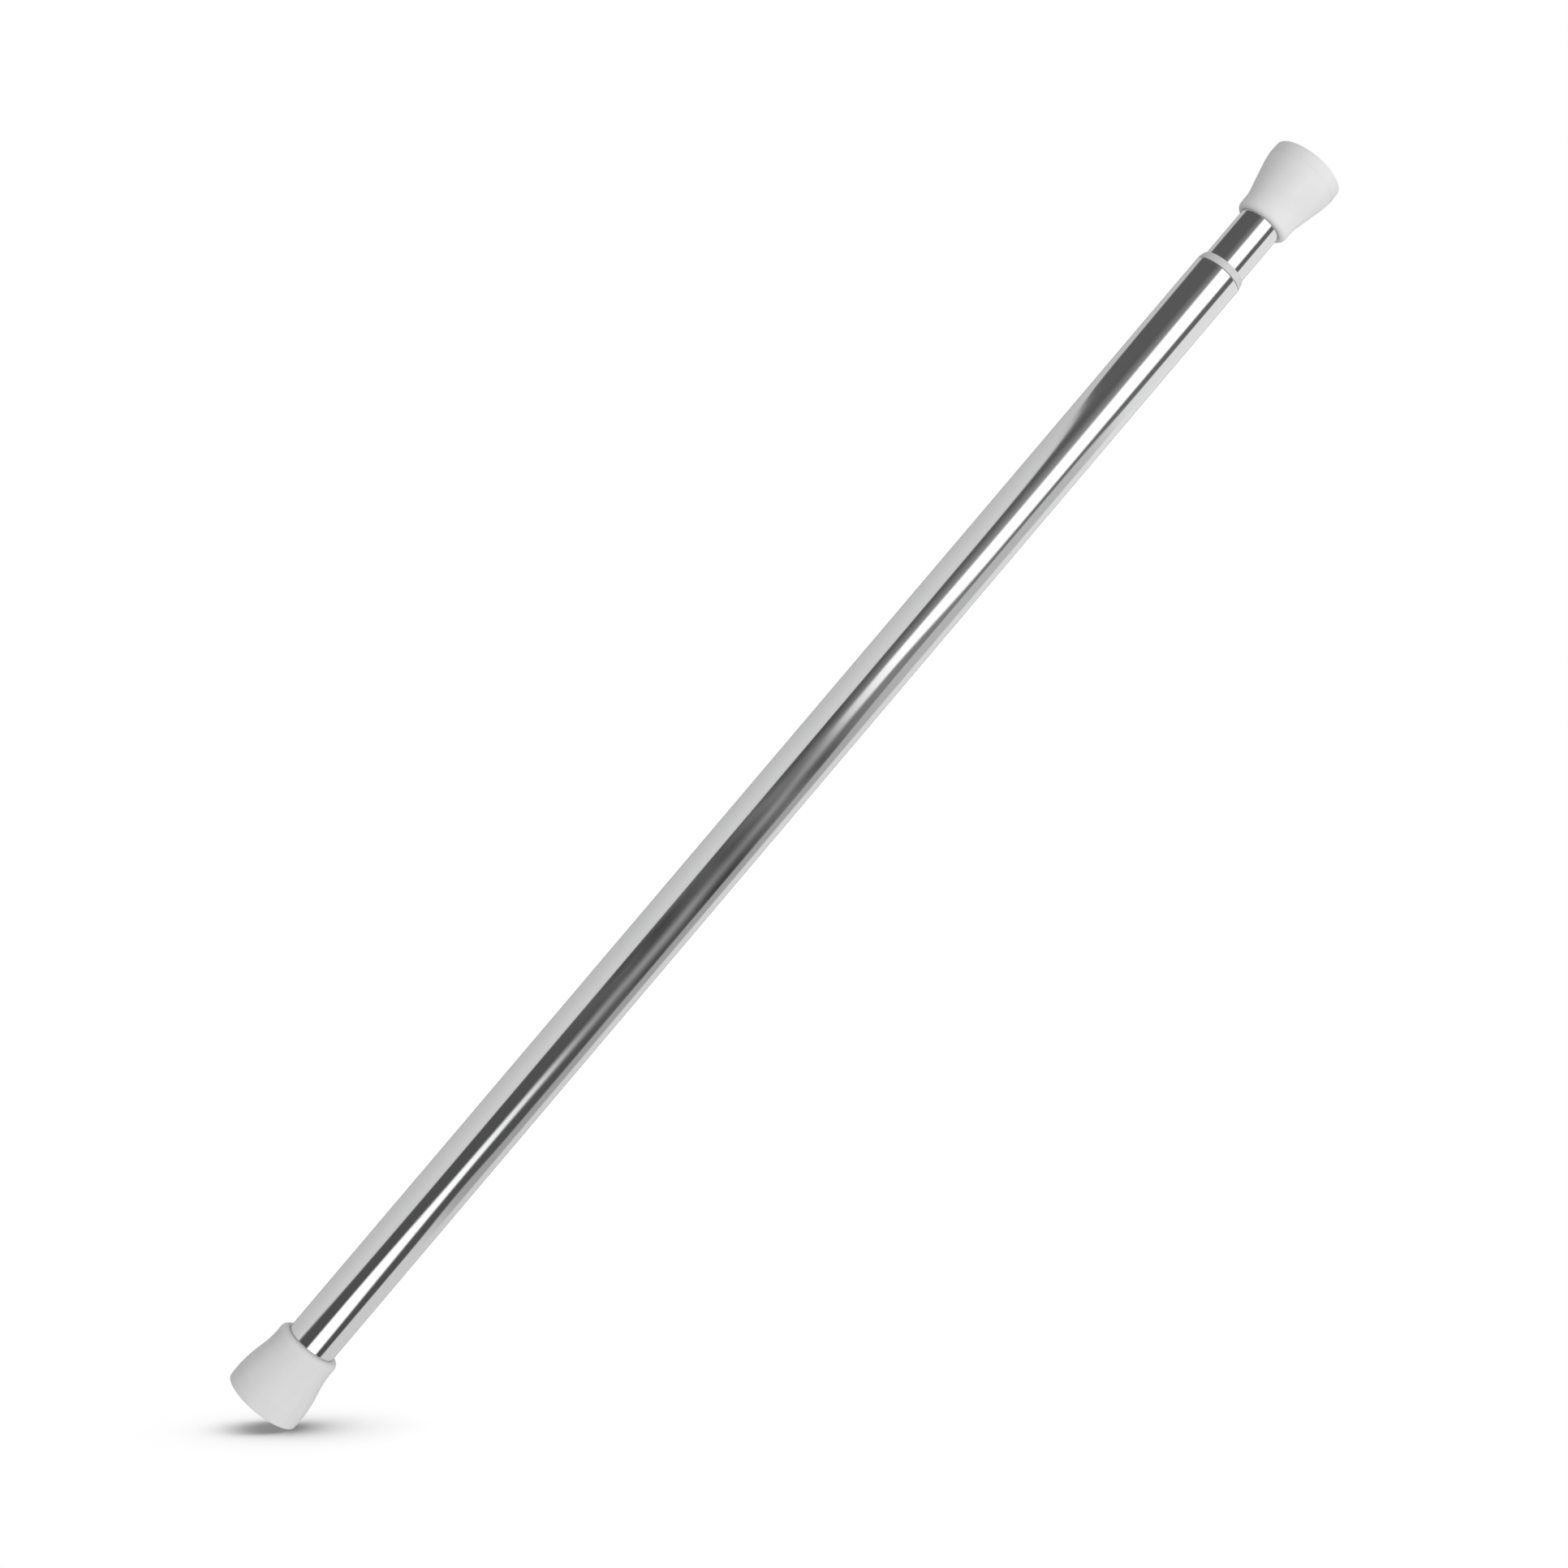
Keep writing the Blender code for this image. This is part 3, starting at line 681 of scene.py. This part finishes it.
# the wall, the dark flag, the bright panel and the flag under it
under_wall = past(curve_along(FLAG_TOP), BAND_BLUR)
grey = blend_value(under_wall, wall_grey, flag_grey)
grey = blend_value(past(curve_along(PANEL_TOP), panel_blur), grey, panel_grey)
grey = blend_value(past(curve_along(PANEL_BOTTOM), panel_blur), grey, curve_along(LOW_FLAG_GREY))

# dim shapes on all of these
drawn_in = work_out("MULTIPLY", across, MOTTLE_STRETCH)
spot = add_node(sky, "ShaderNodeCombineXYZ", [(0, station), (1, drawn_in)]).outputs[0]
mottle = noise(sky, spot, MOTTLE_SCALE, MOTTLE_DETAIL)
middle = work_out("MULTIPLY", fade(station, *MOTTLE_STARTS), fade(station, *MOTTLE_ENDS))
smudge = remap(sky, mottle, *MOTTLE_RANGE, -MOTTLE_STRENGTH, MOTTLE_STRENGTH)
grey = work_out("MULTIPLY_ADD", work_out("MULTIPLY", smudge, middle), under_wall, grey)

# the shelf with its lines, the ground and the wall behind the bar
lines = work_out("SINE", work_out("MULTIPLY", across, math.tau / LINE_PITCH))
ribs = work_out("MULTIPLY", lines, remap(sky, shelf_grey, *LINE_GREYS, 0.0, LINE_STRENGTH))
shelf = work_out("ADD", shelf_grey, ribs)
grey = blend_value(past(curve_along(FLAG_BOTTOM), BAND_BLUR), grey, shelf)
grey = blend_value(past(GROUND_EDGE, BAND_BLUR), grey, ground_grey)
grey = blend_value(fade(work_out("ABSOLUTE", across), *BACK_WALL_SPAN), grey, BACK_WALL_GREY)
mirrored = work_out("DIVIDE", work_out("POWER", grey, DISPLAY_GAMMA), CHROME_REFLECTANCE)

toward_glow = add_node(
    sky, "ShaderNodeVectorMath", [(0, direction), (1, GLOW_DIRECTION)], operation="DOT_PRODUCT"
).outputs["Value"]
soft_light = remap(sky, toward_glow, -1.0, 1.0, *GLOW_RANGE)
rays = add_node(sky, "ShaderNodeLightPath").outputs
seen = blend_value(rays["Is Glossy Ray"], soft_light, mirrored)
seen = blend_value(rays["Is Camera Ray"], seen, 1.0)
background = add_node(sky, "ShaderNodeBackground", [("Color", seen)])
sky.links.new(background.outputs[0], add_node(sky, "ShaderNodeOutputWorld").inputs["Surface"])


# ---------------------------------------------------------------------------------------------
# Lamps. A small soft lamp stands in front of and below the sliding foot, and a broad lamp behind
# the bar fills its far side. The chrome mirrors neither.
# ---------------------------------------------------------------------------------------------
FOOT_LAMP_SIDE = Vector((-0.1, -0.74, -0.66)).normalized()
FOOT_LAMP_REACH = 0.6
FOOT_LAMP_SIZE = 0.3
FOOT_LAMP_POWER = 0.7
BACK_LAMP_SIDE = Vector((0.15, 0.95, 0.3)).normalized()
BACK_LAMP_STRENGTH = 1.5
BACK_LAMP_SPREAD = math.radians(40)


def add_lamp(name, kind, place, side, energy):
    """A lamp at a place, shining from a side, that the chrome doesn't mirror."""
    lamp = bpy.data.objects.new(name, bpy.data.lights.new(name, kind))
    lamp.data.energy = energy
    lamp.matrix_world = Matrix.Translation(place) @ side.to_track_quat("Z", "Y").to_matrix().to_4x4()
    lamp.visible_glossy = False
    bpy.context.scene.collection.objects.link(lamp)
    return lamp


foot_lamp_place = Vector((right_face, 0.0, 0.0)) + FOOT_LAMP_REACH * FOOT_LAMP_SIDE
foot_lamp = add_lamp("foot_lamp", "AREA", foot_lamp_place, FOOT_LAMP_SIDE, FOOT_LAMP_POWER)
foot_lamp.data.size = FOOT_LAMP_SIZE
foot_lamp.visible_camera = False

back_lamp = add_lamp("back_lamp", "SUN", Vector(), BACK_LAMP_SIDE, BACK_LAMP_STRENGTH)
back_lamp.data.angle = BACK_LAMP_SPREAD
